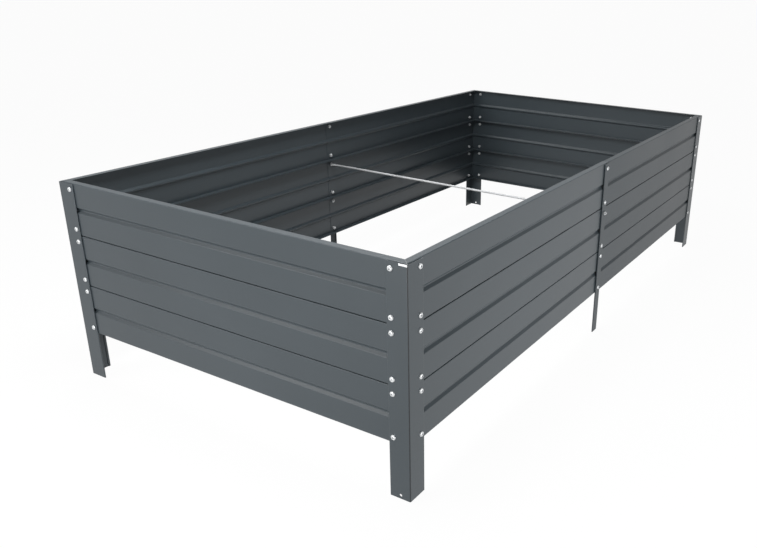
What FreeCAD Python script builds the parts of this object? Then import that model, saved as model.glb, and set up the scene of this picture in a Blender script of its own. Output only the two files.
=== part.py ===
import FreeCAD, Part
import math
import os

import Sketcher
from FreeCAD import Placement, Rotation, Vector

# A raised garden bed of powder-coated sheet steel on six legs.
# Four corner posts and two middle posts stand outside three tiers of channel panels.
# The two long walls are made of half panels that lap under the middle posts, where a
# threaded rod ties the walls together. Screws and nuts hold everything.
# Origin: centre of the bed on the ground. +X runs along it, +Y across it, +Z is up.
# The front wall is at -Y, the back wall at +Y, the left end at -X and the right end at +X.

# Driving dimensions in millimetres.
SIZES = {
    "bed_length": 1900.0,
    "bed_width": 1000.0,
    "bed_height": 510.0,
    "post_height": 508.5,
    "post_flange": 50.0,
    "post_sheet": 1.5,
    "post_bend": 2.5,
    "hem_width": 6.0,
    "hem_round": 1.4,
    "strip_width": 30.0,
    "panel_pitch": 129.0,
    "panel_height": 127.5,
    "panel_sheet": 0.6,
    "panel_bend": 0.9,
    "lip_depth": 17.0,
    "bead_centre": 62.5,
    "bead_depth": 5.5,
    "bead_mouth": 14.5,
    "bead_floor": 3.0,
    "corner_gap": 1.0,
    "mitre_gap": 0.3,
    "lap_half": 15.0,
    "lap_offset": 0.9,
    "lap_trim": 2.0,
    "screw_inset": 39.0,
    "screw_edge": 15.0,
    "hole_flats": 6.6,
    "shank_flats": 6.0,
    "screw_length": 12.0,
    "head_diameter": 11.5,
    "head_height": 3.6,
    "head_slope": 20.0,
    "nut_flats": 10.0,
    "nut_height": 5.0,
    "bore_flats": 6.1,
    "rod_diameter": 6.0,
    "rod_tail": 3.0,
    "hang_hole": 6.5,
    "hang_inset": 24.0,
    "hang_height": 8.0,
    "cut_margin": 1.0,
}
TIERS = ("bottom", "middle", "top")
# Small round features are drawn with flats, which keeps the many fasteners light.
HANG_SIDES = 8
HEAD_SIDES = 8
SCREW_SIDES = 6  # screw holes, shanks and bores, all with a corner upwards
NUT_SIDES = 6
QUARTER = 90.0

doc = FreeCAD.newDocument("raised_garden_bed")
sheet = doc.addObject("Spreadsheet::Sheet", "Sizes")
for row, (alias, value) in enumerate(SIZES.items(), start=1):
    sheet.set(f"A{row}", alias)
    sheet.set(f"B{row}", str(value))
    sheet.setAlias(f"B{row}", alias)
doc.recompute()

# Derived sizes, as expressions of the sheet.
HEM = "(2 * Sizes.post_sheet)"
LEG = f"(Sizes.bed_height - {len(TIERS) - 1} * Sizes.panel_pitch - Sizes.panel_height)"
PANEL_END = f"({HEM} + Sizes.corner_gap)"
END_LENGTH = f"(Sizes.bed_width - 2 * {PANEL_END})"
HALF_LENGTH = f"(Sizes.bed_length / 2 - {PANEL_END} + Sizes.lap_half)"
CORNER_HOLE = f"(Sizes.screw_inset - {PANEL_END})"
ROD_LENGTH = "(Sizes.bed_width + 2 * (Sizes.nut_height + Sizes.rod_tail))"
POST_CUT = f"2 * ({HEM} + Sizes.cut_margin)"


def size(expression):
    """The value, in millimetres, of an expression of the sheet's sizes."""
    return float(sheet.evalExpression(expression.replace("Sizes.", "")))


def sketch_on(body, role, name):
    """A sketch on one of the body's own origin planes."""
    plane = [feature for feature in body.Origin.OriginFeatures if feature.Role == role][0]
    sketch = body.newObject("Sketcher::SketchObject", name)
    sketch.AttachmentSupport = [(plane, "")]
    sketch.MapMode = "FlatFace"
    return sketch


def outline(sketch, corners):
    """A closed polygon whose corners are pairs of expressions of the sheet's sizes."""
    places = [Vector(size(across), size(up), 0) for across, up in corners]
    first = sketch.GeometryCount
    count = len(corners)
    sketch.addGeometry([Part.LineSegment(places[i], places[(i + 1) % count]) for i in range(count)])
    joints = []
    for i in range(count):
        joints.append(Sketcher.Constraint("Coincident", first + i, 2, first + (i + 1) % count, 1))
    sketch.addConstraint(joints)
    for i, (across, up) in enumerate(corners):
        for kind, value, text in (("DistanceX", places[i].x, across), ("DistanceY", places[i].y, up)):
            index = sketch.addConstraint(Sketcher.Constraint(kind, -1, 1, first + i, 1, value))
            sketch.setExpression(f"Constraints[{index}]", text)


def rectangle(sketch, left, bottom, right, top):
    """An upright rectangle between two corners."""
    outline(sketch, [(left, bottom), (right, bottom), (right, top), (left, top)])


def flats(sketch, across, up, width, sides):
    """A regular polygon of even sides about a centre, given its width over the flats."""
    step = 2 * math.pi / sides
    reach = 0.5 / math.cos(step / 2)
    corners = []
    for i in range(sides):
        turn = step * (i + 0.5)
        x = round(reach * math.cos(turn), 6)
        y = round(reach * math.sin(turn), 6)
        corners.append((f"{across} + {width} * ({x})", f"{up} + {width} * ({y})"))
    outline(sketch, corners)


def pad(body, sketch, name, length):
    """Raise the sketch by a length along its plane's normal."""
    feature = body.newObject("PartDesign::Pad", name)
    feature.Profile = sketch
    feature.setExpression("Length", length)
    sketch.Visibility = False
    return feature


def cut_through(body, sketch, name, length):
    """Cut the sketch through the body to both sides of its plane."""
    feature = body.newObject("PartDesign::Pocket", name)
    feature.Profile = sketch
    feature.SideType = "Symmetric"
    feature.setExpression("Length", length)
    return feature


def round_edges(body, base, name, direction, places, radius):
    """Fillet the straight edges that run along a direction through given places."""
    doc.recompute()
    names = []
    for number, edge in enumerate(base.Shape.Edges, start=1):
        if len(edge.Vertexes) != 2:
            continue
        start = edge.Vertexes[0].Point
        run = edge.Vertexes[1].Point - start
        if run.cross(direction).Length > 1e-6 * run.Length:
            continue
        for place in places:
            apart = (place - start).cross(direction).Length
            if apart < 1e-4:
                names.append(f"Edge{number}")
    feature = body.newObject("PartDesign::Fillet", name)
    feature.Base = (base, names)
    feature.setExpression("Radius", radius)
    return feature


def new_body(label):
    body = doc.addObject("PartDesign::Body", label)
    body.Label = label
    return body


def hole_heights(low, high):
    """The heights of the two screws of each tier, from the bottom tier up."""
    heights = []
    for tier in range(len(TIERS)):
        base = f"{LEG} + {tier} * Sizes.panel_pitch"
        heights.append(f"{base} + {low}")
        heights.append(f"{base} + {high}")
    return heights


LOW_HOLE = "Sizes.screw_edge"
HIGH_HOLE = "(Sizes.panel_height - Sizes.screw_edge)"
SCREW_HEIGHTS = hole_heights(LOW_HOLE, HIGH_HOLE)
ROD_LEVEL = 3  # the rod takes the upper hole of the middle tier
UP = Vector(0, 0, 1)
ALONG = Vector(1, 0, 0)


def corner_post(label, place):
    """A folded corner with hemmed free edges, its outer corner on the body's Z axis."""
    body = new_body(label)
    section = sketch_on(body, "XY_Plane", "Section")
    flange = "Sizes.post_flange"
    wall = "Sizes.post_sheet"
    hem_start = "(Sizes.post_flange - Sizes.hem_width)"
    outline(section, [
        ("0", "0"), (flange, "0"), (flange, HEM), (hem_start, HEM), (hem_start, wall),
        (wall, wall), (wall, hem_start), (HEM, hem_start), (HEM, flange), ("0", flange),
    ])
    fold = pad(body, section, "Fold", "Sizes.post_height")
    corner = round_edges(body, fold, "OuterBend", UP, [Vector(0, 0, 0)], "Sizes.post_bend")
    inner = Vector(size(wall), size(wall), 0)
    corner = round_edges(body, corner, "InnerBend", UP, [inner], "Sizes.post_bend - Sizes.post_sheet")
    edge = size(flange)
    thick = size(HEM)
    ends = [Vector(edge, 0, 0), Vector(edge, thick, 0), Vector(0, edge, 0), Vector(thick, edge, 0)]
    round_edges(body, corner, "Hems", UP, ends, "Sizes.hem_round")
    for role, name in (("XZ_Plane", "HolesAlongX"), ("YZ_Plane", "HolesAlongY")):
        holes = sketch_on(body, role, name)
        for height in SCREW_HEIGHTS:
            flats(holes, "Sizes.screw_inset", height, "Sizes.hole_flats", SCREW_SIDES)
        cut_through(body, holes, f"{name}Cut", POST_CUT)
    hang = sketch_on(body, "YZ_Plane", "HangHole")
    flats(hang, "Sizes.hang_inset", "Sizes.hang_height", "Sizes.hang_hole", HANG_SIDES)
    cut_through(body, hang, "HangHoleCut", POST_CUT)
    body.Placement = place
    return body


def middle_post(label, place):
    """A strip with two hemmed edges, centred on the lap of the long wall."""
    body = new_body(label)
    section = sketch_on(body, "XY_Plane", "Section")
    half = "(Sizes.strip_width / 2)"
    hem_start = "(Sizes.strip_width / 2 - Sizes.hem_width)"
    wall = "Sizes.post_sheet"
    outline(section, [
        (f"-{half}", "0"), (half, "0"), (half, HEM), (hem_start, HEM), (hem_start, wall),
        (f"-{hem_start}", wall), (f"-{hem_start}", HEM), (f"-{half}", HEM),
    ])
    strip = pad(body, section, "Strip", "Sizes.post_height")
    edge = size(half)
    thick = size(HEM)
    ends = [Vector(side * edge, depth, 0) for side in (-1, 1) for depth in (0, thick)]
    round_edges(body, strip, "Hems", UP, ends, "Sizes.hem_round")
    holes = sketch_on(body, "XZ_Plane", "Holes")
    for height in SCREW_HEIGHTS:
        flats(holes, "0", height, "Sizes.hole_flats", SCREW_SIDES)
    cut_through(body, holes, "HolesCut", POST_CUT)
    body.Placement = place
    return body


def panel(label, length, ends, place):
    """A channel with a pressed bead: outer face on the XZ plane, lips towards +Y.

    Each end is a corner, mitred to meet the next wall, a plain lap that lies inside, or a
    trimmed lap that lies outside with its lips cut back.
    """
    body = new_body(label)
    top = "Sizes.panel_height"
    wall = "Sizes.panel_sheet"
    lip = "Sizes.lip_depth"
    depth = "Sizes.bead_depth"
    slant = "atan(2 * Sizes.bead_depth / (Sizes.bead_mouth - Sizes.bead_floor))"
    spread = f"Sizes.panel_sheet * tan({slant} / 2)"
    mouth = "Sizes.bead_mouth / 2"
    floor = "Sizes.bead_floor / 2"
    centre = "Sizes.bead_centre"
    section = sketch_on(body, "YZ_Plane", "Section")
    outline(section, [
        (lip, "0"), ("0", "0"),
        ("0", f"{centre} - {mouth}"), (depth, f"{centre} - {floor}"),
        (depth, f"{centre} + {floor}"), ("0", f"{centre} + {mouth}"),
        ("0", top), (lip, top), (lip, f"{top} - {wall}"), (wall, f"{top} - {wall}"),
        (wall, f"{centre} + {mouth} + {spread}"),
        (f"{depth} + {wall}", f"{centre} + {floor} + {spread}"),
        (f"{depth} + {wall}", f"{centre} - {floor} - {spread}"),
        (wall, f"{centre} - {mouth} - {spread}"),
        (wall, wall), (lip, wall),
    ])
    rolled = pad(body, section, "Channel", length)
    edges = [Vector(0, 0, 0), Vector(0, 0, size(top))]
    round_edges(body, rolled, "Bends", ALONG, edges, "Sizes.panel_bend")

    holes = sketch_on(body, "XZ_Plane", "Holes")
    for side, end in enumerate(ends):
        inset = CORNER_HOLE if end == "corner" else "Sizes.lap_half"
        across = inset if side == 0 else f"{length} - {inset}"
        for height in (LOW_HOLE, HIGH_HOLE):
            flats(holes, across, height, "Sizes.hole_flats", SCREW_SIDES)
    cut_through(body, holes, "HolesCut", f"2 * ({wall} + Sizes.cut_margin)")

    low = "-Sizes.cut_margin"
    deep = f"({lip} + Sizes.cut_margin)"
    high = f"({top} + Sizes.cut_margin)"
    start = "(Sizes.corner_gap - Sizes.mitre_gap)"
    for side, end in enumerate(ends):
        if end == "corner":
            mitre = sketch_on(body, "XY_Plane", f"Mitre{side}")
            corners = [(low, f"{start} + {low}"), (low, deep), (f"{deep} - {start}", deep)]
            if side == 1:
                corners = [(f"{length} - ({x})", y) for x, y in corners]
            outline(mitre, corners)
            cut_through(body, mitre, f"Mitre{side}Cut", f"2 * {high}")
        if end == "trimmed lap":
            trim = sketch_on(body, "YZ_Plane", f"Trim{side}")
            rectangle(trim, low, low, deep, "Sizes.lap_trim")
            rectangle(trim, low, f"{top} - Sizes.lap_trim", deep, high)
            cut_through(body, trim, f"Trim{side}Cut", "2 * (2 * Sizes.lap_half + Sizes.cut_margin)")
    body.Placement = place
    return body


def screw_shape():
    """A pan-head screw along +Z, its head's seat on the XY plane."""
    body = new_body("screw")
    rim = sketch_on(body, "XY_Plane", "Rim")
    flats(rim, "0", "0", "Sizes.head_diameter", HEAD_SIDES)
    head = pad(body, rim, "Head", "Sizes.head_height")
    head.Reversed = True
    doc.recompute()
    sides = []
    for number, face in enumerate(head.Shape.Faces, start=1):
        if abs(face.normalAt(0, 0).z) < 0.5:
            sides.append(f"Face{number}")
    taper = body.newObject("PartDesign::Draft", "HeadTaper")
    taper.Base = (head, sides)
    taper.NeutralPlane = (rim.AttachmentSupport[0][0], [""])
    taper.setExpression("Angle", "Sizes.head_slope")
    taper.Reversed = True
    core = sketch_on(body, "XY_Plane", "Core")
    flats(core, "0", "0", "Sizes.shank_flats", SCREW_SIDES)
    pad(body, core, "Shank", "Sizes.screw_length")
    return body


def nut_shape():
    """A hexagon nut along +Z, its seat on the XY plane."""
    body = new_body("nut")
    hexagon = sketch_on(body, "XY_Plane", "Hexagon")
    flats(hexagon, "0", "0", "Sizes.nut_flats", NUT_SIDES)
    pad(body, hexagon, "Block", "Sizes.nut_height")
    bore = sketch_on(body, "XY_Plane", "Bore")
    flats(bore, "0", "0", "Sizes.bore_flats", SCREW_SIDES)
    cut_through(body, bore, "BoreCut", "2 * (Sizes.nut_height + Sizes.cut_margin)")
    return body


def group(label, base, places):
    """Copies of one fastener at many places, as separate solids of one node."""
    feature = doc.addObject("Part::Feature", label)
    copies = [base.Shape.transformed(place.toMatrix()) for place in places]
    feature.Shape = Part.makeCompound(copies)
    feature.Label = label
    return feature


def on_wall(position, inward, depth):
    """A fastener's place: +Z points inwards, +Y upwards, and the seat is at a depth."""
    return Placement(position + inward * depth, Rotation(UP.cross(inward), UP, inward, "ZYX"))


half_long = size("Sizes.bed_length") / 2
half_wide = size("Sizes.bed_width") / 2
hem = size(HEM)
panel_end = size(PANEL_END)
leg = size(LEG)
pitch = size("Sizes.panel_pitch")
wall_sheet = size("Sizes.panel_sheet")
lap_offset = size("Sizes.lap_offset")
lap_reach = half_long - panel_end
skew = math.degrees(math.asin(lap_offset / lap_reach))
pieces = []

# Posts: each corner is the same part turned by a further quarter.
CORNERS = (
    ("front_left", -1, -1), ("front_right", 1, -1), ("back_right", 1, 1), ("back_left", -1, 1),
)
for quarter, (corner, x_side, y_side) in enumerate(CORNERS):
    at = Vector(x_side * half_long, y_side * half_wide, 0)
    pieces.append(corner_post(f"corner_post_{corner}", Placement(at, Rotation(UP, quarter * QUARTER))))
pieces.append(middle_post("middle_post_front", Placement(Vector(0, -half_wide, 0), Rotation())))
pieces.append(middle_post("middle_post_back", Placement(Vector(0, half_wide, 0), Rotation(UP, 2 * QUARTER))))

# Panels: the end walls are whole, the long walls are an inner half that leans in by the
# lap offset and an outer half that lies flat on the hems.
for tier, tier_name in enumerate(TIERS):
    base = leg + tier * pitch
    for wall_name, side in (("left", -1), ("right", 1)):
        at = Vector(side * (half_long - hem), -side * (half_wide - panel_end), base)
        place = Placement(at, Rotation(UP, side * QUARTER))
        pieces.append(panel(f"{wall_name}_panel_{tier_name}", END_LENGTH, ("corner", "corner"), place))
    for wall_name, turn, inner, outer in (("front", 0, "left", "right"), ("back", 180, "right", "left")):
        spin = Placement(Vector(0, 0, 0), Rotation(UP, turn))
        at = Vector(-lap_reach, -(half_wide - hem), base)
        place = spin.multiply(Placement(at, Rotation(UP, skew)))
        label = f"{wall_name}_panel_{inner}_{tier_name}"
        pieces.append(panel(label, HALF_LENGTH, ("corner", "plain lap"), place))
        at = Vector(-size("Sizes.lap_half"), -(half_wide - hem), base)
        place = spin.multiply(Placement(at, Rotation()))
        label = f"{wall_name}_panel_{outer}_{tier_name}"
        pieces.append(panel(label, HALF_LENGTH, ("trimmed lap", "corner"), place))

# The tie rod across the bed.
rod = doc.addObject("Part::Cylinder", "tie_rod")
rod.Label = "tie_rod"
rod.setExpression("Radius", "Sizes.rod_diameter / 2")
rod.setExpression("Height", ROD_LENGTH)
rod_height = size(SCREW_HEIGHTS[ROD_LEVEL])
rod.Placement = Placement(Vector(0, -size(ROD_LENGTH) / 2, rod_height), Rotation(UP, Vector(0, 1, 0)))
pieces.append(rod)

# Fasteners. On a leaning half panel a nut follows the lean and rests on one of its corners.
screw = screw_shape()
nut = nut_shape()
doc.recompute()
inset = size("Sizes.screw_inset")
nut_seat = hem + wall_sheet
nut_reach = size("Sizes.nut_flats") / math.sqrt(3)
tip = nut_reach * lap_offset / lap_reach
lean = lap_offset * (inset - panel_end) / lap_reach + tip
heights = [size(height) for height in SCREW_HEIGHTS]
for corner, x_side, y_side in CORNERS:
    long_in = Vector(0, -y_side, 0)
    end_in = Vector(-x_side, 0, 0)
    inner_half = x_side * y_side > 0
    screws = []
    nuts = []
    for height in heights:
        at = Vector(x_side * (half_long - inset), y_side * half_wide, height)
        screws.append(on_wall(at, long_in, 0))
        nuts.append(on_wall(at, long_in, nut_seat + (lean if inner_half else 0)))
        at = Vector(x_side * half_long, y_side * (half_wide - inset), height)
        screws.append(on_wall(at, end_in, 0))
        nuts.append(on_wall(at, end_in, nut_seat))
    pieces.append(group(f"corner_screws_{corner}", screw, screws))
    pieces.append(group(f"corner_nuts_{corner}", nut, nuts))

lap_seat = nut_seat + lap_offset + tip
nut_height = size("Sizes.nut_height")
middle_screws = []
middle_nuts = []
rod_nuts = []
for y_side in (-1, 1):
    inward = Vector(0, -y_side, 0)
    for level, height in enumerate(heights):
        at = Vector(0, y_side * half_wide, height)
        if level == ROD_LEVEL:
            rod_nuts.append(on_wall(at, inward, -nut_height))
            rod_nuts.append(on_wall(at, inward, lap_seat))
        else:
            middle_screws.append(on_wall(at, inward, 0))
            middle_nuts.append(on_wall(at, inward, lap_seat))
pieces.append(group("middle_screws", screw, middle_screws))
pieces.append(group("middle_nuts", nut, middle_nuts))
pieces.append(group("tie_rod_nuts", nut, rod_nuts))

doc.recompute()
for item in doc.Objects:
    faults = [state for state in item.State if state in ("Invalid", "Error")]
    if faults:
        raise RuntimeError(f"{item.Label} is {faults}")
for piece in pieces:
    if piece.Shape.isNull() or not piece.Shape.isValid():
        raise RuntimeError(f"{piece.Label} has no valid shape")

os.makedirs("parts", exist_ok=True)
for piece in pieces:
    piece.Shape.exportStep(f"parts/{piece.Label}.step")
print(f"{len(pieces)} pieces written")
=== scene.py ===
import math

import bpy
import numpy as np
from mathutils import Matrix, Vector


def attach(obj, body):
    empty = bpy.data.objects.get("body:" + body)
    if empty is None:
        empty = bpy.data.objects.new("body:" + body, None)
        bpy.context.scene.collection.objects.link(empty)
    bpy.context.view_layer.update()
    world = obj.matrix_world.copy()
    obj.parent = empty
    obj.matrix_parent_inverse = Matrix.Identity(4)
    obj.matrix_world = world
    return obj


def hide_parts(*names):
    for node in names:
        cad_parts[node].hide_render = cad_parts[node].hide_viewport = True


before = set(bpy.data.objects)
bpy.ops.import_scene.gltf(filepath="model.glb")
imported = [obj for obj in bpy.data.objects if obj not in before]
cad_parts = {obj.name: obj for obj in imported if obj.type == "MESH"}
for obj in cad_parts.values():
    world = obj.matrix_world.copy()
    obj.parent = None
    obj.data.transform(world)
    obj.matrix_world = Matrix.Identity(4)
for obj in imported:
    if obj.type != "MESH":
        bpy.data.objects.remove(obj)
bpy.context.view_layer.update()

# A raised garden bed of powder-coated sheet steel with zinc-plated screws and a tie rod.
# Metres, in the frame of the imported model: origin on the ground in the middle of the bed,
# +X along it, +Y across it, +Z up.
MM = 0.001

# The bed and its posts.
HALF_LONG = 950 * MM
HALF_WIDE = 500 * MM
BED_HEIGHT = 510 * MM
POST_HEIGHT = 508.5 * MM
POST_SHEET = 1.45 * MM  # just under half a hem, so that the hem's two layers stay apart
POST_BEND = 2.5 * MM  # outer radius
FLANGE = 50 * MM
STRIP_HALF = 15 * MM
HEM_THICK = 3 * MM
HEM_WIDTH = 6 * MM
POST_STEP = 60 * MM

# The panels. A bend is the radius of the sheet's centre line.
TIERS = ("bottom", "middle", "top")
PITCH = 129 * MM
PANEL_HEIGHT = 127.5 * MM
LEG = BED_HEIGHT - (len(TIERS) - 1) * PITCH - PANEL_HEIGHT
PANEL_SHEET = 0.6 * MM
PANEL_BEND = 1.6 * MM
PANEL_STEP = 24 * MM
LIP = 17 * MM
BEAD_CENTRE = 62.5 * MM
BEAD_DEPTH = 5.5 * MM
BEAD_MOUTH_HALF = 7.25 * MM
BEAD_FLOOR_HALF = 1.5 * MM
BEAD_MOUTH_BEND = 2 * MM
BEAD_FLOOR_BEND = 1.2 * MM
PANEL_END = HEM_THICK + 1 * MM
MITRE_START = 0.7 * MM
LAP_HALF = 15 * MM
LAP_OFFSET = 0.9 * MM
LAP_TRIM = 2 * MM
LAP_CUT = 2 * LAP_HALF + 1 * MM

# The sheets' slight unevenness: the range of each wave's two frequencies and two phases.
WAVES = 5
WAVE_LOW = [2.0, 3.0, 0.0, 0.0]
WAVE_HIGH = [9.0, 16.0, 2 * math.pi, 2 * math.pi]
WAVE_UNIT = 0.2
WAVE_HEIGHT = 0.09 * MM
WAVE_FADE = 120 * MM
WAVE_START = 0.4  # share of the fade that stays flat at each end

# Holes. A cell is half the width of the square of sheet that a hole is opened in.
SCREW_INSET = 39 * MM
SCREW_EDGE = 15 * MM
HOLE_RADIUS = 3.3 * MM
HOLE_CELL = 4.5 * MM
HANG_INSET = 24 * MM
HANG_HEIGHT = 8 * MM
HANG_RADIUS = 3.25 * MM
HANG_CELL = 4.2 * MM
HOLE_TURNS = 24
HOLE_OFFSETS = (SCREW_EDGE, PANEL_HEIGHT - SCREW_EDGE)
SCREW_HEIGHTS = [
    LEG + tier * PITCH + offset for tier in range(len(TIERS)) for offset in HOLE_OFFSETS]
ROD_LEVEL = 3  # the rod takes the upper hole of the middle tier

# Fasteners.
FASTENER_TURNS = 36
HEAD_RADIUS = 5.75 * MM
HEAD_HEIGHT = 3.6 * MM
HEAD_RIM = 0.7 * MM
HEAD_FOOT = 0.15 * MM
DOME_SHARES = np.array([0.60, 0.70, 0.80, 0.88, 0.94, 0.98, 1.0])  # of the head's radius
DOME_POWERS = (2.6, 0.6)
SOCKET_HALF = 2 * MM
SOCKET_DEPTH = 2.2 * MM
SOCKET_LIP = 0.25 * MM
SOCKET_RIM = 0.05 * MM
SOCKET_TAPER = 0.96
SOCKET_TURN = 2.4  # radians from one screw's socket to the next one's
SCREW_LENGTH = 12 * MM
SCREW_ROOT = 0.3 * MM  # how far a thread starts inside the head
NUT_HEIGHT = 5 * MM
NUT_HALF = 5 * MM
NUT_CHAMFER = 4.75 * MM
NUT_STEPS = np.array([0, 0.15, 0.3, 0.45, 0.62]) * MM  # rings that follow the chamfer
BORE_RADIUS = 3.05 * MM
BORE_MOUTH = 3.45 * MM
BORE_CHAMFER = 0.4 * MM
ROD_RADIUS = 3 * MM
ROD_TURNS = 24
ROD_TAIL = 3 * MM
ROD_HALF = HALF_WIDE + NUT_HEIGHT + ROD_TAIL
ROD_THREAD = 45 * MM
THREAD_TURNS = 20
THREAD_PITCH = 1 * MM
THREAD_STEPS = 4  # rings in each pitch
THREAD_CLEAR = 0.02 * MM
THREAD_DEPTH = 0.5 * MM
THREAD_END = 0.5 * MM
THREAD_END_DEPTH = 0.6 * MM
THREAD_DEEPEST = 0.75 * MM

UP = np.array([0.0, 0.0, 1.0])
BEND_STEPS = 6
BEND_SUPPORT = 0.4 * MM  # the flat beside a bend that keeps its shading off the face
SAME_PLACE = 1e-7
SHARP_DEGREES = 38


# Shapes.

def bent(corners, radii, thickness):
    """Faces of a bent sheet: its centre line runs straight between corners and turns each of
    them on an arc of the given radius; the faces lie half a thickness to its left and right.
    """
    corners = np.asarray(corners, float)
    places = [corners[0]]
    sides = []
    for before, corner, after, radius in zip(corners, corners[1:], corners[2:], radii):
        come = (corner - before) / np.linalg.norm(corner - before)
        leave = (after - corner) / np.linalg.norm(after - corner)
        left_in = np.array([-come[1], come[0]])
        left_out = np.array([-leave[1], leave[0]])
        if not sides:
            sides.append(left_in)
        if radius == 0:
            places.append(corner)
            sides.append(left_in)
            continue
        turn = math.atan2(come[0] * leave[1] - come[1] * leave[0], come @ leave)
        tangent = radius * math.tan(abs(turn) / 2)
        room = 2 * (tangent + BEND_SUPPORT)
        hand = math.copysign(1, turn)
        centre = corner - come * tangent + left_in * radius * hand
        if np.linalg.norm(corner - before) > room:
            places.append(corner - come * (tangent + BEND_SUPPORT))
            sides.append(left_in)
        for share in np.linspace(0, 1, BEND_STEPS + 1):
            cos, sin = math.cos(turn * share), math.sin(turn * share)
            side = np.array([[cos, -sin], [sin, cos]]) @ left_in
            places.append(centre - side * radius * hand)
            sides.append(side)
        if np.linalg.norm(after - corner) > room:
            places.append(corner + leave * (tangent + BEND_SUPPORT))
            sides.append(left_out)
    last = corners[-1] - corners[-2]
    last = last / np.linalg.norm(last)
    places.append(corners[-1])
    sides.append(np.array([-last[1], last[0]]))
    places = np.array(places)
    sides = np.array(sides)
    fresh = np.ones(len(places), bool)
    fresh[1:] = np.linalg.norm(np.diff(places, axis=0), axis=1) > SAME_PLACE
    places = places[fresh]
    sides = sides[fresh]
    return places + sides * thickness / 2, places - sides * thickness / 2


def steps_through(marks, widest):
    """Sorted stops that hold every mark and leave no step wider than the widest."""
    marks = np.unique(np.round(marks, 7))
    runs = []
    for a, b in zip(marks, marks[1:]):
        runs.append(np.linspace(a, b, max(1, math.ceil((b - a) / widest)), endpoint=False))
    return np.concatenate(runs + [marks[-1:]])


def ring(turns):
    """Unit circle points at a number of equal turns."""
    angles = np.arange(turns) * 2 * math.pi / turns
    return np.stack([np.cos(angles), np.sin(angles)], axis=-1)


def wrapped(rows, turns):
    """Indices of rings of points, each ring's first point repeated at its end."""
    index = np.arange(rows * turns).reshape(rows, turns)
    return np.concatenate([index, index[:, :1]], axis=1)


def cells_of(index):
    """Quads of a grid of indices."""
    corners = [index[:-1, :-1], index[:-1, 1:], index[1:, 1:], index[1:, :-1]]
    return np.stack(corners, -1).reshape(-1, 4)


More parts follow.
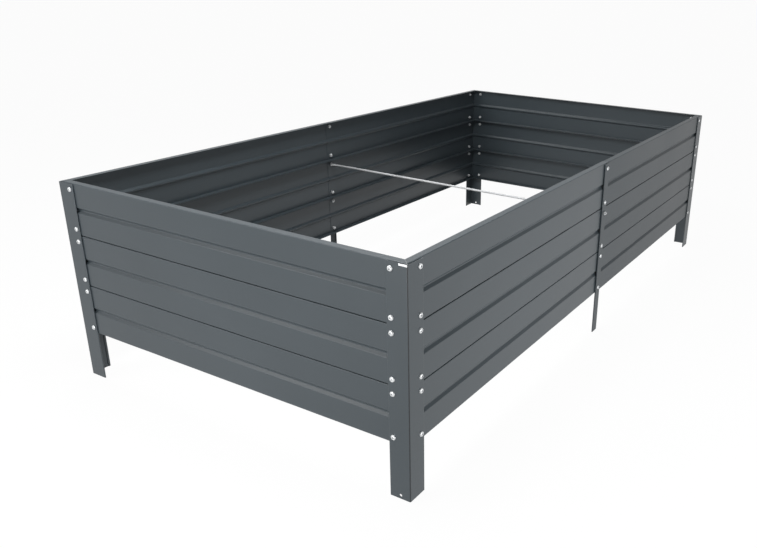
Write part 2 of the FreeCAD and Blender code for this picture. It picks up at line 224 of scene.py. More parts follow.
class Shape:
    """Surfaces gathered as arrays of points, quads and triangles, made into one mesh."""

    def __init__(self):
        self.points = []
        self.quads = []
        self.triangles = []
        self.count = 0

    def add(self, points, quads, triangles):
        """Takes in a surface whose faces count from its own first point."""
        self.quads.append(quads + self.count)
        self.triangles.append(triangles + self.count)
        self.points.append(points)
        self.count += len(points)

    def tube(self, rings):
        """Closed rings rings[j, i] joined in turn; each end is closed round its middle."""
        rows, turns = rings.shape[:2]
        index = wrapped(rows, turns)
        points = np.concatenate([rings.reshape(-1, 3), rings[:1].mean(1), rings[-1:].mean(1)])
        low = np.full(turns, rows * turns)
        first = np.stack([index[0, 1:], index[0, :-1], low], -1)
        last = np.stack([index[-1, :-1], index[-1, 1:], low + 1], -1)
        self.add(points, cells_of(index), np.concatenate([first, last]))

    def loop(self, rings):
        """Closed rings rings[j, i], the last joined to the first, as on a nut."""
        index = wrapped(*rings.shape[:2])
        index = np.concatenate([index, index[:1]])
        self.add(rings.reshape(-1, 3), cells_of(index), np.zeros((0, 3), int))

    def sheet(self, outer, inner, keep, holes):
        """Two skins outer[i, j] and inner[i, j] over the cells in keep, joined by walls along
        every free edge.

        A hole (i, j, radius) opens the middle of a cell: fans run from the cell's corners to
        the circle, whose points are mixed from the four corners.
        """
        rows, columns = outer.shape[:2]
        total = rows * columns
        index = np.arange(total).reshape(rows, columns)
        a = index[:-1, :-1]
        b = index[1:, :-1]
        c = index[1:, 1:]
        d = index[:-1, 1:]
        solid = keep.copy()
        for i, j, radius in holes:
            solid[i, j] = False
        quads = [np.stack([a, b, c, d], -1)[solid], np.stack([a, d, c, b], -1)[solid] + total]
        padded = np.pad(keep, 1)
        for corner, other, neighbour in (
            (a, d, padded[:-2, 1:-1]), (c, b, padded[2:, 1:-1]),
            (b, a, padded[1:-1, :-2]), (d, c, padded[1:-1, 2:]),
        ):
            wall = np.stack([corner, other, other + total, corner + total], -1)
            quads.append(wall[keep & ~neighbour])
        points = [outer.reshape(-1, 3), inner.reshape(-1, 3)]
        triangles = [np.zeros((0, 3), int)]
        count = 2 * total
        circle = ring(HOLE_TURNS)
        around = np.arange(HOLE_TURNS)
        following = (around + 1) % HOLE_TURNS
        quarter = HOLE_TURNS // 4
        for i, j, radius in holes:
            square = [index[i, j], index[i + 1, j], index[i + 1, j + 1], index[i, j + 1]]
            for skin, offset in ((outer, 0), (inner, total)):
                p, q, r, s = skin[i, j], skin[i + 1, j], skin[i + 1, j + 1], skin[i, j + 1]
                u = 0.5 + circle[:, :1] * radius / np.linalg.norm(q - p)
                v = 0.5 + circle[:, 1:] * radius / np.linalg.norm(s - p)
                low_side = (1 - u) * (1 - v) * p + u * (1 - v) * q
                points.append(low_side + u * v * r + (1 - u) * v * s)
                fans = []
                for number in range(4):
                    before = square[(number + 1) % 4] + offset
                    corner = square[(number + 2) % 4] + offset
                    arc = (around[:quarter] + number * quarter) % HOLE_TURNS
                    tips = np.full(quarter, corner)
                    fans.append(np.stack([count + arc, tips, count + following[arc]], -1))
                    fans.append(np.array([[before, corner, count + number * quarter]]))
                fans = np.concatenate(fans)
                triangles.append(fans[:, ::-1] if offset else fans)
                count += HOLE_TURNS
            near = count - 2 * HOLE_TURNS
            far = count - HOLE_TURNS
            rim = [near + around, near + following, far + following, far + around]
            quads.append(np.stack(rim, -1))
        quads = np.concatenate(quads)
        triangles = np.concatenate(triangles)
        run_i = outer[1:, :-1] - outer[:-1, :-1]
        run_j = outer[:-1, 1:] - outer[:-1, :-1]
        if ((outer - inner)[:-1, :-1] * np.cross(run_i, run_j)).sum() < 0:
            quads = quads[:, ::-1]
            triangles = triangles[:, ::-1]
        self.add(np.concatenate(points), quads, triangles)

    def join(self, other, matrix):
        """Adds another shape under a 3 by 4 placement."""
        self.quads += [quads + self.count for quads in other.quads]
        self.triangles += [triangles + self.count for triangles in other.triangles]
        self.points += [points @ matrix[:, :3].T + matrix[:, 3] for points in other.points]
        self.count += other.count

    def moved(self, matrix):
        """A copy of this shape under a 3 by 4 placement."""
        copy = Shape()
        copy.join(self, matrix)
        return copy

    def piece(self, name, material, slot, *nodes):
        """The finished object: smooth but for its sharp edges, in place of its CAD nodes."""
        quads = np.concatenate(self.quads)
        triangles = np.concatenate(self.triangles)
        sizes = np.concatenate([np.full(len(quads), 4), np.full(len(triangles), 3)])
        loops = np.concatenate([quads.ravel(), triangles.ravel()])
        mesh = bpy.data.meshes.new(name)
        mesh.vertices.add(self.count)
        mesh.vertices.foreach_set("co", np.concatenate(self.points).ravel())
        mesh.loops.add(len(loops))
        mesh.loops.foreach_set("vertex_index", loops.astype(np.int32))
        mesh.polygons.add(len(sizes))
        mesh.polygons.foreach_set("loop_start", (np.cumsum(sizes) - sizes).astype(np.int32))
        mesh.update(calc_edges=True)
        mesh.validate()
        mesh.shade_smooth()
        mesh.set_sharp_from_angle(angle=math.radians(SHARP_DEGREES))
        mesh.materials.append(material)
        thing = bpy.data.objects.new(name, mesh)
        bpy.context.scene.collection.objects.link(thing)
        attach(thing, "root")
        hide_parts(*nodes)


def placement(origin, along, inward):
    """3 by 4 matrix that takes (along, inward, up) coordinates to the bed's frame."""
    return np.stack([along, inward, UP, origin], axis=-1)


def turned(degrees):
    """The along and inward directions after a turn about the vertical."""
    angle = math.radians(degrees)
    along = np.array([math.cos(angle), math.sin(angle), 0.0])
    return along, np.array([-along[1], along[0], 0.0])


# Materials.

WHITE = (1.0, 1.0, 1.0, 1.0)
NOISE_RANGE = (0.3, 0.7)  # the part of a noise's range that a mix is spread over

COAT_DEEP = (0.040, 0.052, 0.060)
COAT_LIGHT = (0.047, 0.060, 0.069)
# painted shade: the near-black line down a corner post's outer bend
PAINTED_BEND_SHADE = (0.010, 0.012, 0.014, 1.0)
COAT_ROUGHNESS = (0.34, 0.42)
CLOUD_SCALE = 3.0
PEEL_SCALE = 520.0
GRAIN_SCALE = 1900.0
PEEL_SHARE = 0.7
GRAIN_SHARE = 0.3
COAT_BUMP = 0.25
COAT_BUMP_HEIGHT = 0.06 * MM
BEND_SHADE_LINE = (-2 * MM, -1.2 * MM)  # where the painted shade along a corner's bend starts and is full

# A pale ragged patch on the top edge beside the front corner: its place, edges and colour.
PATCH_FACE = -949.7 * MM
PATCH_END = -480 * MM
PATCH_LOW = 504 * MM
PATCH_EDGE = 0.3 * MM
PATCH_END_EDGE = 0.4 * MM
PATCH_RAGGED = 2 * MM
PATCH_SCALE = 300.0
PATCH_COLOUR = (0.86, 0.87, 0.88, 1.0)

ZINC_SCALE = 420.0
ZINC_ROUGHNESS = (0.3, 0.45)
ZINC_BUMP = 0.15
ZINC_BUMP_HEIGHT = 0.05 * MM


class Value:
    """A socket of a shader tree; arithmetic on it adds Math nodes."""

    def __init__(self, shader, socket):
        self.shader = shader
        self.socket = socket

    def maths(self, operation, *others):
        inputs = dict(enumerate((self, *others)))
        return self.shader.add("Math", {"operation": operation}, inputs)

    def __add__(self, other):
        return self.maths("ADD", other)

    def __sub__(self, other):
        return self.maths("SUBTRACT", other)

    def __mul__(self, other):
        return self.maths("MULTIPLY", other)

    def __abs__(self):
        return self.maths("ABSOLUTE")


class Shader:
    """The node tree of a material or world. add() makes a node and fills its sockets."""

    def __init__(self, owner):
        owner.use_nodes = True
        self.owner = owner
        self.tree = owner.node_tree
        self.tree.nodes.clear()

    def add(self, kind, settings=None, inputs=None, output=0):
        node = self.tree.nodes.new("ShaderNode" + kind)
        for key, value in (settings or {}).items():
            setattr(node, key, value)
        for key, value in (inputs or {}).items():
            if isinstance(value, Value):
                self.tree.links.new(value.socket, node.inputs[key])
            else:
                node.inputs[key].default_value = value
        return Value(self, node.outputs[output]) if node.outputs else None

    def noise(self, place, scale, detail):
        """Fractal noise round one half; detail is how many octaves it has."""
        return self.add("TexNoise", inputs={"Vector": place, "Scale": scale, "Detail": detail})

    def remap(self, value, start, end, to_start=0.0, to_end=1.0):
        """Value mapped from one range to another and held at its ends."""
        return self.add("MapRange", {"clamp": True}, {
            "Value": value, "From Min": start, "From Max": end,
            "To Min": to_start, "To Max": to_end})

    def blend(self, share, first, second):
        """Mix of two colours."""
        return self.add(
            "Mix", {"data_type": "RGBA"}, {0: share, 6: first, 7: second}, output=2)

    def axes(self, vector):
        """The three parts of a vector."""
        first = self.add("SeparateXYZ", inputs={"Vector": vector})
        return [Value(self, socket) for socket in first.socket.node.outputs]

    def surface(self, value, kind="OutputMaterial"):
        self.add(kind, inputs={"Surface": value})
        return self.owner


def powder_coat(name, shade_tone=1.0, specular=0.5, bend_shade=False, pale_patch=False):
    """Anthracite powder coat: satin, with fine orange peel and faint clouding. A corner post's
    copy carries painted shade, a dark line down its outer bend; the front one's also turns pale
    in a ragged patch beside the front corner, along the top edge.
    """
    shader = Shader(bpy.data.materials.new(name))
    place = shader.add("TexCoord", output=3)
    broad = shader.noise(place, CLOUD_SCALE, 3.0)
    peel = shader.noise(place, PEEL_SCALE, 2.0)
    grain = shader.noise(place, GRAIN_SCALE, 1.0)
    deep, light = [(*[shade_tone * part for part in shade], 1.0) for shade in (COAT_DEEP, COAT_LIGHT)]
    colour = shader.blend(shader.remap(broad, *NOISE_RANGE), deep, light)
    across, along, up = shader.axes(place)
    # Painted shade: a dark line down the outer corner's bend, where the two faces turn.
    if bend_shade:
        shade_beside_end, shade_beside_wall = [
            shader.remap(abs(value), *[half + edge for edge in BEND_SHADE_LINE])
            for value, half in ((across, HALF_LONG), (along, HALF_WIDE))]
        colour = shader.blend(shade_beside_end * shade_beside_wall, colour, PAINTED_BEND_SHADE)
    # A pale ragged patch along the top edge beside the front corner.
    if pale_patch:
        ragged = (shader.noise(place, PATCH_SCALE, 2.0) - 0.5) * PATCH_RAGGED
        outside = shader.remap(across, PATCH_FACE + PATCH_EDGE, PATCH_FACE)
        length = shader.remap(along + ragged, PATCH_END + PATCH_END_EDGE, PATCH_END)
        depth = shader.remap(up + ragged, PATCH_LOW, PATCH_LOW + PATCH_EDGE)
        colour = shader.blend(outside * length * depth, colour, PATCH_COLOUR)
    bump = shader.add("Bump", inputs={
        "Height": peel * PEEL_SHARE + grain * GRAIN_SHARE,
        "Strength": COAT_BUMP, "Distance": COAT_BUMP_HEIGHT})
    rough = shader.remap(peel * 0.5 + broad * 0.5, *NOISE_RANGE, *COAT_ROUGHNESS)
    return shader.surface(shader.add("BsdfPrincipled", inputs={
        "Base Color": colour, "Roughness": rough, "Specular IOR Level": specular,
        "Normal": bump}))


def zinc_plate(name, dark, bright, metallic):
    """Zinc plating with a faint mottle."""
    shader = Shader(bpy.data.materials.new(name))
    mottle = shader.noise(shader.add("TexCoord", output=3), ZINC_SCALE, 3.0)
    colour = shader.blend(shader.remap(mottle, *NOISE_RANGE), dark, bright)
    rough = shader.remap(mottle, *NOISE_RANGE, *ZINC_ROUGHNESS)
    bump = shader.add("Bump", inputs={
        "Height": mottle, "Strength": ZINC_BUMP, "Distance": ZINC_BUMP_HEIGHT})
    return shader.surface(shader.add("BsdfPrincipled", inputs={
        "Base Color": colour, "Metallic": metallic, "Roughness": rough, "Normal": bump}))


PAINT_SLOT = "anthracite_paint"
ZINC_SLOT = "zinc"
COAT = powder_coat("anthracite powder coat")
# A less glossy copy of the coat whose darker tone is painted shade, for the front wall's far half
# and the strips.
DULL_SHADED_COAT = powder_coat("duller anthracite powder coat with painted shade", shade_tone=0.88, specular=0.26)
# The corner posts' coats carry painted shade along their outer bend.
SHADED_POST_COAT = powder_coat("anthracite powder coat with painted bend shade", bend_shade=True)
SHADED_PATCHED_POST_COAT = powder_coat("chipped anthracite powder coat", bend_shade=True, pale_patch=True)
ZINC = zinc_plate("bright zinc", (0.62, 0.64, 0.65, 1.0), (0.76, 0.77, 0.78, 1.0), 0.45)
ROD_ZINC = zinc_plate("rod zinc", (0.46, 0.47, 0.48, 1.0), (0.58, 0.59, 0.60, 1.0), 0.35)


# Posts. A section's corners are centre-line points, with the outer faces on its two axes.

POST_LINE = POST_SHEET / 2
HEM_LINE = HEM_THICK - POST_LINE
HEM_FOLD = (HEM_THICK - POST_SHEET) / 2


def upright(corners, radii, holes):
    """A post: its section carried straight up, with round holes.

    A hole is (section x, section y, height, radius, cell). Each skin point is
    (section x, section y, height).
    """
    outer, inner = bent(corners, radii, POST_SHEET)
    marks = [0, POST_HEIGHT]
    for x, y, height, radius, cell in holes:
        marks += [height - cell, height + cell]
    stops = steps_through(marks, POST_STEP)
    skins = []
    for face in (outer, inner):
        flat = np.repeat(face[:, None, :], len(stops), axis=1)
        rise = np.repeat(stops[None, :, None], len(face), axis=0)
        skins.append(np.concatenate([flat, rise], axis=-1))
    middle = (outer + inner) / 2
    centres = (middle[:-1] + middle[1:]) / 2
    opened = []
    for x, y, height, radius, cell in holes:
        i = int(np.argmin(np.hypot(centres[:, 0] - x, centres[:, 1] - y)))
        j = int(np.searchsorted(stops, height) - 1)
        opened.append((i, j, radius))
    shape = Shape()
    shape.sheet(*skins, np.ones((len(outer) - 1, len(stops) - 1), bool), opened)
    return shape


def screw_holes(x, y):
    """The row of screw holes at one place of a post's section."""
    return [(x, y, height, HOLE_RADIUS, HOLE_CELL) for height in SCREW_HEIGHTS]


def corner_post():
    """A folded corner: two flanges at right angles, hemmed at their free edges."""
    near, far = SCREW_INSET - HOLE_CELL, SCREW_INSET + HOLE_CELL
    tip = FLANGE - POST_LINE
    corners = [
        (FLANGE - HEM_WIDTH, HEM_LINE), (tip, HEM_LINE), (tip, POST_LINE),
        (far, POST_LINE), (near, POST_LINE), (POST_LINE, POST_LINE),
        (POST_LINE, HANG_INSET - HANG_CELL), (POST_LINE, HANG_INSET + HANG_CELL),
        (POST_LINE, near), (POST_LINE, far),
        (POST_LINE, tip), (HEM_LINE, tip), (HEM_LINE, FLANGE - HEM_WIDTH),
    ]
    radii = [HEM_FOLD, HEM_FOLD, 0, 0, POST_BEND - POST_LINE, 0, 0, 0, 0, HEM_FOLD, HEM_FOLD]
    hang = (POST_LINE, HANG_INSET, HANG_HEIGHT, HANG_RADIUS, HANG_CELL)
    holes = screw_holes(SCREW_INSET, POST_LINE) + screw_holes(POST_LINE, SCREW_INSET) + [hang]
    return upright(corners, radii, holes)


def middle_post():
    """A strip with both edges hemmed, over the lap of a long wall."""
    tip = STRIP_HALF - POST_LINE
    hem_end = STRIP_HALF - HEM_WIDTH
    corners = [
        (hem_end, HEM_LINE), (tip, HEM_LINE), (tip, POST_LINE), (HOLE_CELL, POST_LINE),
        (-HOLE_CELL, POST_LINE), (-tip, POST_LINE), (-tip, HEM_LINE), (-hem_end, HEM_LINE),
    ]
    radii = [HEM_FOLD, HEM_FOLD, 0, 0, HEM_FOLD, HEM_FOLD]
    return upright(corners, radii, screw_holes(0, POST_LINE))


CORNERS = (
    ("front_left", -1, -1), ("front_right", 1, -1), ("back_right", 1, 1), ("back_left", -1, 1),
)
corner_shape = corner_post()
for quarter, (corner, x_side, y_side) in enumerate(CORNERS):
    origin = np.array([x_side * HALF_LONG, y_side * HALF_WIDE, 0.0])
    post = corner_shape.moved(placement(origin, *turned(90 * quarter)))
    coat = SHADED_PATCHED_POST_COAT if corner == "front_left" else SHADED_POST_COAT
    post.piece(f"post_{corner}", coat, PAINT_SLOT, f"corner_post_{corner}")
strip_shape = middle_post()
for wall, y_side, turn in (("front", -1, 0), ("back", 1, 180)):
    origin = np.array([0.0, y_side * HALF_WIDE, 0.0])
    strip = strip_shape.moved(placement(origin, *turned(turn)))
    # The strips take the darker copy of the coat: its darkness is painted shade.
    strip.piece(f"strip_{wall}", DULL_SHADED_COAT, PAINT_SLOT, f"middle_post_{wall}")


# Panels.

def panel_section():
    """Outer and inner face of the channel with its bead, as (depth, height) points."""
    line = PANEL_SHEET / 2
    slant = math.atan(BEAD_DEPTH / (BEAD_MOUTH_HALF - BEAD_FLOOR_HALF))
    spread = line * math.tan(slant / 2)
    mouth = BEAD_MOUTH_HALF + spread
    floor = BEAD_FLOOR_HALF + spread
    deep = BEAD_DEPTH + line
    top = PANEL_HEIGHT
    low_hole, high_hole = HOLE_OFFSETS
    corners = [
        (LIP, line), (line, line), (line, LAP_TRIM),
        (line, low_hole - HOLE_CELL), (line, low_hole + HOLE_CELL),
        (line, BEAD_CENTRE - mouth), (deep, BEAD_CENTRE - floor),
        (deep, BEAD_CENTRE + floor), (line, BEAD_CENTRE + mouth),
        (line, high_hole - HOLE_CELL), (line, high_hole + HOLE_CELL),
        (line, top - LAP_TRIM), (line, top - line), (LIP, top - line),
    ]
    bead = [BEAD_MOUTH_BEND, BEAD_FLOOR_BEND, BEAD_FLOOR_BEND, BEAD_MOUTH_BEND]
    return bent(corners, [PANEL_BEND, 0, 0, 0, *bead, 0, 0, 0, PANEL_BEND], PANEL_SHEET)


def panel(length, ends, seed):
    """A channel with a pressed bead, its section carried along the wall.

    A mitred end starts later by as much as a point is deeper than the mitre's start, and the
    sheet bulges by a sum of slow sine waves that fade out towards the ends.
    """
    outer, inner = panel_section()
    insets = [SCREW_INSET - PANEL_END if end == "mitred" else LAP_HALF for end in ends]
    hole_runs = [insets[0], length - insets[1]]
    marks = [0, length]
    for run in hole_runs:
        marks += [run - HOLE_CELL, run + HOLE_CELL]
    if "trimmed" in ends:
        marks.append(LAP_CUT)
    stops = steps_through(marks, PANEL_STEP)
    draws = np.random.default_rng(seed)
    waves = draws.uniform(WAVE_LOW, WAVE_HIGH, (WAVES, len(WAVE_LOW)))
    skins = []
    for face in (outer, inner):
        depth = np.repeat(face[:, :1], len(stops), axis=1)
        rise = np.repeat(face[:, 1:], len(stops), axis=1)
        mitre = np.maximum(depth - MITRE_START, 0)
        first, last = [mitre if end == "mitred" else 0 for end in ends]
        run = first + stops / length * (length - last - first)
        fade = np.clip(np.minimum(run, length - run) / WAVE_FADE - WAVE_START, 0, 1)
        fade = fade * fade * (3 - 2 * fade)
        bulge = 0
        for along, across, phase, other in waves:
            bulge = bulge + (
                np.sin(along * run / WAVE_UNIT + phase)
                * np.cos(across * rise / WAVE_UNIT + other))
        skins.append(np.stack([run, depth + fade * bulge * WAVE_HEIGHT, rise], axis=-1))
    middle = (outer + inner) / 2
    centres = (middle[:-1] + middle[1:]) / 2
    keep = np.ones((len(centres), len(stops) - 1), bool)
    if "trimmed" in ends:
        cut = (centres[:, 1] < LAP_TRIM) | (centres[:, 1] > PANEL_HEIGHT - LAP_TRIM)
        keep[np.ix_(cut, stops[1:] < LAP_CUT + SAME_PLACE)] = False
    holes = []
    for run in hole_runs:
        j = int(np.searchsorted(stops, run) - 1)
        for offset in HOLE_OFFSETS:
            off_line = centres[:, 0] - PANEL_SHEET / 2
            i = int(np.argmin(np.hypot(off_line, centres[:, 1] - offset)))
            holes.append((i, j, HOLE_RADIUS))
    shape = Shape()
    shape.sheet(*skins, keep, holes)
    return shape


# The end walls are whole. Each long wall has an inner half that leans in by the lap offset and
# an outer half that lies flat on the hems.
END_LENGTH = 2 * (HALF_WIDE - PANEL_END)
LAP_REACH = HALF_LONG - PANEL_END
HALF_LENGTH = LAP_REACH + LAP_HALF
SKEW = math.degrees(math.asin(LAP_OFFSET / LAP_REACH))
LONG_WALLS = (("front", 0, "left", "right"), ("back", 180, "right", "left"))
for tier, tier_name in enumerate(TIERS):
    base = LEG + tier * PITCH
    for number, (wall, side) in enumerate((("left", -1), ("right", 1))):
        origin = np.array([side * (HALF_LONG - HEM_THICK), -side * (HALF_WIDE - PANEL_END), base])
        shape = panel(END_LENGTH, ("mitred", "mitred"), 10 * tier + number)
        shape = shape.moved(placement(origin, *turned(90 * side)))
        name = f"{wall}_panel_{tier_name}"
        shape.piece(f"sheet_{name}", COAT, PAINT_SLOT, name)
    for wall, turn, inner_half, outer_half in LONG_WALLS:
        along, inward = turned(turn)
        halves = (
            (inner_half, -LAP_REACH, SKEW, ("mitred", "plain")),
            (outer_half, -LAP_HALF, 0, ("trimmed", "mitred")),
        )
        for number, (part, start, skew, ends) in enumerate(halves):
            origin = along * start - inward * (HALF_WIDE - HEM_THICK) + UP * base
            shape = panel(HALF_LENGTH, ends, 100 + 10 * tier + turn + number)
            shape = shape.moved(placement(origin, *turned(turn + skew)))
            # The front wall's far half takes the darker copy of the coat: its darkness is painted
            # shade.
            coat = DULL_SHADED_COAT if (wall, part) == ("front", "right") else COAT
            name = f"{wall}_panel_{part}_{tier_name}"
            shape.piece(f"sheet_{name}", coat, PAINT_SLOT, name)


# Fasteners: along +Y of their own frame, seat at y = 0, head towards -Y.

def on_axis(radius, length, circle):
    """Rings round the local inward axis: radius[j, i] at length[j] or length[j, i]."""
    radius = np.broadcast_to(radius.reshape(len(radius), -1), (len(radius), len(circle)))
    length = np.broadcast_to(length.reshape(len(radius), -1), radius.shape)
    return np.stack([radius * circle[:, 0], length, radius * -circle[:, 1]], axis=-1)


def threaded(shape, start, end):
    """A thread: the radius falls by a triangle wave of (length / pitch - turn) and, near the
    end, by a taper, but never by more than the deepest cut.
    """
    circle = ring(THREAD_TURNS)
    steps = int(round((end - start) / THREAD_PITCH * THREAD_STEPS))
    length = np.linspace(start, end, steps + 1)
    phase = length[:, None] / THREAD_PITCH - np.arange(THREAD_TURNS) / THREAD_TURNS
    groove = 2 * np.abs(phase - np.floor(phase) - 0.5)
    taper = 1 - np.clip((end - length) / THREAD_END, 0, 1)[:, None]
    depth = np.minimum(THREAD_DEPTH * groove + THREAD_END_DEPTH * taper, THREAD_DEEPEST)
    shape.tube(on_axis(ROD_RADIUS - THREAD_CLEAR - depth, length, circle))


def hexagon_radius(half):
    """Radius of a hexagon, given half its width over the flats, at each of the turns."""
    angle = np.arange(FASTENER_TURNS) * 2 * math.pi / FASTENER_TURNS
    sector = math.pi / 3
    return half / np.cos((angle + sector / 2) % sector - sector / 2)


def button_screw():
    """Head: rings round the axis whose height is the rim's plus the rise times
    (1 - share of the radius ** first power) ** second power, with a hexagon socket sunk in
    the middle.
    """
    whole = np.ones(FASTENER_TURNS)
    socket = hexagon_radius(SOCKET_HALF)
    inner_power, outer_power = DOME_POWERS
    rise = HEAD_HEIGHT - HEAD_RIM
    dome = HEAD_RIM + rise * (1 - DOME_SHARES ** inner_power) ** outer_power
    mouth = dome[0] + SOCKET_RIM
    radius = [socket * SOCKET_TAPER, socket, socket + SOCKET_LIP]
    height = [mouth - SOCKET_DEPTH, mouth - SOCKET_LIP, mouth]
    radius += [whole * share * HEAD_RADIUS for share in DOME_SHARES]
    radius += [whole * HEAD_RADIUS, whole * (HEAD_RADIUS - HEAD_FOOT)]
    height += [*dome, HEAD_FOOT, 0.0]
    shape = Shape()
    shape.tube(on_axis(np.array(radius), -np.array(height), ring(FASTENER_TURNS)))
    threaded(shape, -SCREW_ROOT, SCREW_LENGTH)
    return shape


def hexagon_nut():
    """Radius at an angle and height: the smaller of the hexagon's and that of the chamfer's
    cone, which leaves the nut's faces at 30 degrees; then back through the bore.
    """
    length = np.concatenate([NUT_STEPS, NUT_HEIGHT - NUT_STEPS[::-1]])
    cone = NUT_CHAMFER + np.minimum(length, NUT_HEIGHT - length) * math.sqrt(3)
    side = np.minimum(hexagon_radius(NUT_HALF), cone[:, None])
    bore = np.array([BORE_MOUTH, BORE_RADIUS, BORE_RADIUS, BORE_MOUTH])
    bore_length = np.array([NUT_HEIGHT, NUT_HEIGHT - BORE_CHAMFER, BORE_CHAMFER, 0.0])
    radius = np.concatenate([side, np.repeat(bore[:, None], FASTENER_TURNS, axis=1)])
    length = np.concatenate([length, bore_length])
    shape = Shape()
    shape.loop(on_axis(radius, length, ring(FASTENER_TURNS)))
    return shape


screw = button_screw()
nut = hexagon_nut()


def fastened(name, node, base, places, turn_step=0.0):
    """Copies of one fastener, each at (position, inward direction, depth of its seat) and
    turned on its axis by a step more than the one before.
    """
    shape = Shape()
    for number, (position, inward, depth) in enumerate(places):
        turn = number * turn_step
        first = np.cross(inward, UP) * math.cos(turn) + UP * math.sin(turn)
        second = np.cross(first, inward)
        seat = position + inward * depth
        shape.join(base, np.stack([first, inward, second, seat], axis=-1))
    shape.piece(name, ZINC, ZINC_SLOT, node)


# The seat of a nut on a leaning half panel: further in by the lean there, and by as much as
# one corner of the nut stands off.
nut_seat = HEM_THICK + PANEL_SHEET
tip = 2 * NUT_HALF / math.sqrt(3) * LAP_OFFSET / LAP_REACH
lean = LAP_OFFSET * (SCREW_INSET - PANEL_END) / LAP_REACH + tip
for corner, x_side, y_side in CORNERS:
    long_in = np.array([0.0, -y_side, 0.0])
    end_in = np.array([-x_side, 0.0, 0.0])
    long_seat = nut_seat + (lean if x_side * y_side > 0 else 0)
    screws = []
    nuts = []
    for height in SCREW_HEIGHTS:
        at = np.array([x_side * (HALF_LONG - SCREW_INSET), y_side * HALF_WIDE, height])
        screws.append((at, long_in, 0))
        nuts.append((at, long_in, long_seat))
        at = np.array([x_side * HALF_LONG, y_side * (HALF_WIDE - SCREW_INSET), height])
        screws.append((at, end_in, 0))
        nuts.append((at, end_in, nut_seat))
    fastened(f"screws_{corner}", f"corner_screws_{corner}", screw, screws, SOCKET_TURN)
    fastened(f"nuts_{corner}", f"corner_nuts_{corner}", nut, nuts)

lap_seat = nut_seat + LAP_OFFSET + tip
strip_screws = []
strip_nuts = []
rod_nuts = []
for y_side in (-1, 1):
    inward = np.array([0.0, -y_side, 0.0])
    for level, height in enumerate(SCREW_HEIGHTS):
        at = np.array([0.0, y_side * HALF_WIDE, height])
        if level == ROD_LEVEL:
            rod_nuts += [(at, inward, -NUT_HEIGHT), (at, inward, lap_seat)]
        else:
            strip_screws.append((at, inward, 0))
            strip_nuts.append((at, inward, lap_seat))
fastened("strip_screws", "middle_screws", screw, strip_screws, SOCKET_TURN)
fastened("strip_nuts", "middle_nuts", nut, strip_nuts)
fastened("rod_end_nuts", "tie_rod_nuts", nut, rod_nuts)


def tie_rod():
    """A plain rod whose last stretches are threaded."""
    shape = Shape()
    thread = Shape()
    plain = ROD_HALF - ROD_THREAD
    radius = np.full(2, ROD_RADIUS)
    shape.tube(on_axis(radius, np.array([-plain, plain]), ring(ROD_TURNS)))
    threaded(thread, plain, ROD_HALF)
    origin = np.zeros(3)
    shape.join(thread, placement(origin, *turned(0)))
    shape.join(thread, placement(origin, *turned(180)))
    return shape


rod_place = placement(UP * SCREW_HEIGHTS[ROD_LEVEL], *turned(0))
tie_rod().moved(rod_place).piece("threaded_rod", ROD_ZINC, ZINC_SLOT, "tie_rod")


# Camera, fitted to the photograph. Its optical centre lies right of the frame's middle, but a
# little less so than in the best fit, so that the bed stays in the frame from other sides.

FRAME_WIDTH = 757  # pixels, as the next two
FOCAL_LENGTH = 777.77
CENTRE_ACROSS = 490.0
CAMERA_PLACE = (-1.99862, -1.25175, 0.9999)
RIGHT = Vector((0.495888, -0.86798, 0.026544))
DOWN = Vector((-0.305002, -0.202708, -0.930529))
AHEAD = Vector((0.813061, 0.453342, -0.365256))

scene = bpy.context.scene
camera_data = bpy.data.cameras.new("view")
camera_data.sensor_fit = "HORIZONTAL"
camera_data.sensor_width = 36.0
camera_data.lens = FOCAL_LENGTH / FRAME_WIDTH * camera_data.sensor_width
camera_data.shift_x = -(CENTRE_ACROSS - FRAME_WIDTH / 2) / FRAME_WIDTH
camera_data.clip_start = 0.05
camera_data.clip_end = 200.0
camera = bpy.data.objects.new("view", camera_data)
axes = Matrix((RIGHT, -DOWN, -AHEAD)).transposed()
camera.matrix_world = Matrix.Translation(CAMERA_PLACE) @ axes.to_4x4()
scene.collection.objects.link(camera)
scene.camera = camera


# Lamps: place, target, size and power of each.

LAMPS = {
    "key softbox": ((-2.8, 1.6, 2.0), (-0.9, 0.0, 0.3), (1.6, 1.6), 38),
    "side softbox": ((-2.4, -0.25, 0.35), (-0.95, -0.25, 0.3), (0.6, 0.5), 15),
    "front softbox": ((-0.6, -2.1, 0.4), (-0.5, -0.5, 0.3), (1.2, 0.5), 21),
    "overhead softbox": ((-0.8, -0.15, 1.9), (-0.8, -0.15, 0.0), (0.7, 0.6), 28),
    "back softbox": ((0.4, 0.9, 2.2), (0.1, 0.0, 0.3), (1.6, 0.8), 16),
}
for name, (place, target, size, power) in LAMPS.items():
    lamp_data = bpy.data.lights.new(name, "AREA")
    lamp_data.shape = "RECTANGLE"
    lamp_data.size, lamp_data.size_y = size
    lamp_data.energy = power
    lamp = bpy.data.objects.new(name, lamp_data)
    lamp.location = place
    aim = Vector(target) - Vector(place)
    lamp.rotation_euler = aim.to_track_quat("-Z", "Y").to_euler()
    scene.collection.objects.link(lamp)


# Room and floor: both are white to the camera and in reflections, and dim as a source of light.

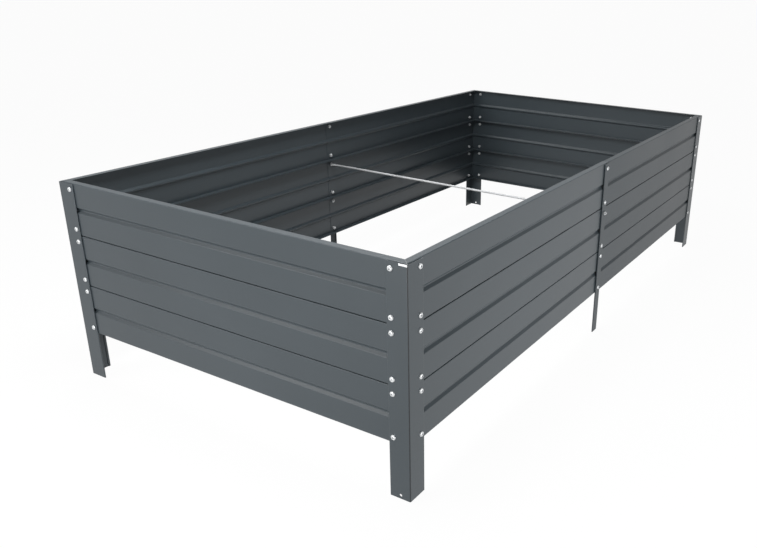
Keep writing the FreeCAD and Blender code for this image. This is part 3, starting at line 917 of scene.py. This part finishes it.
ROOM_STRENGTH = 0.22
WALL_STRENGTH = 0.97
CEILING_STRENGTH = 0.08
WALL_TOP = 0.22  # sine of the height where the wall starts to darken
CEILING_START = 0.5
FLOOR_REACH = 60.0
FLOOR_CORNERS = ((-1, -1), (1, -1), (1, 1), (-1, 1))
FLOOR_LIT = 0.3  # diffuse colour in the light that the floor throws back on the bed
FLOOR_SEEN = 0.5  # added to it where the floor is seen
FLOOR_WHITE = 0.96  # share of plain white where it is seen, the rest holding the shadow


def seen_directly(shader):
    """1 for camera, glossy and transmission rays, 0 for the others."""
    camera_ray, glossy_ray, transmission_ray = [
        shader.add("LightPath", output=f"Is {kind} Ray")
        for kind in ("Camera", "Glossy", "Transmission")]
    settings = {"operation": "ADD", "use_clamp": True}
    return shader.add("Math", settings, {0: camera_ray + glossy_ray, 1: transmission_ray})


world = bpy.data.worlds.new("studio")
scene.world = world
sky = Shader(world)
height = sky.axes(sky.add("TexCoord"))[2]
wall_to_ceiling = sky.remap(
    height, WALL_TOP, CEILING_START, WALL_STRENGTH, CEILING_STRENGTH)
room = sky.add("Background", inputs={"Color": WHITE, "Strength": ROOM_STRENGTH})
white = sky.add("Background", inputs={"Color": WHITE, "Strength": wall_to_ceiling})
shown = sky.add("MixShader", inputs={0: seen_directly(sky), 1: room, 2: white})
sky.surface(shown, "OutputWorld")

ground = Shader(bpy.data.materials.new("pale floor"))
seen = seen_directly(ground)
lit = ground.add("BsdfDiffuse", inputs={"Color": seen * FLOOR_SEEN + FLOOR_LIT})
white = ground.add("Emission", inputs={"Color": WHITE, "Strength": 1.0})
shown = ground.add("MixShader", inputs={0: seen * FLOOR_WHITE, 1: lit, 2: white})
floor_mesh = bpy.data.meshes.new("floor")
places = [(x * FLOOR_REACH, y * FLOOR_REACH, 0) for x, y in FLOOR_CORNERS]
floor_mesh.from_pydata(places, [], [range(4)])
floor_mesh.materials.append(ground.surface(shown))
floor = bpy.data.objects.new("floor", floor_mesh)
scene.collection.objects.link(floor)

scene.view_settings.view_transform = "Standard"
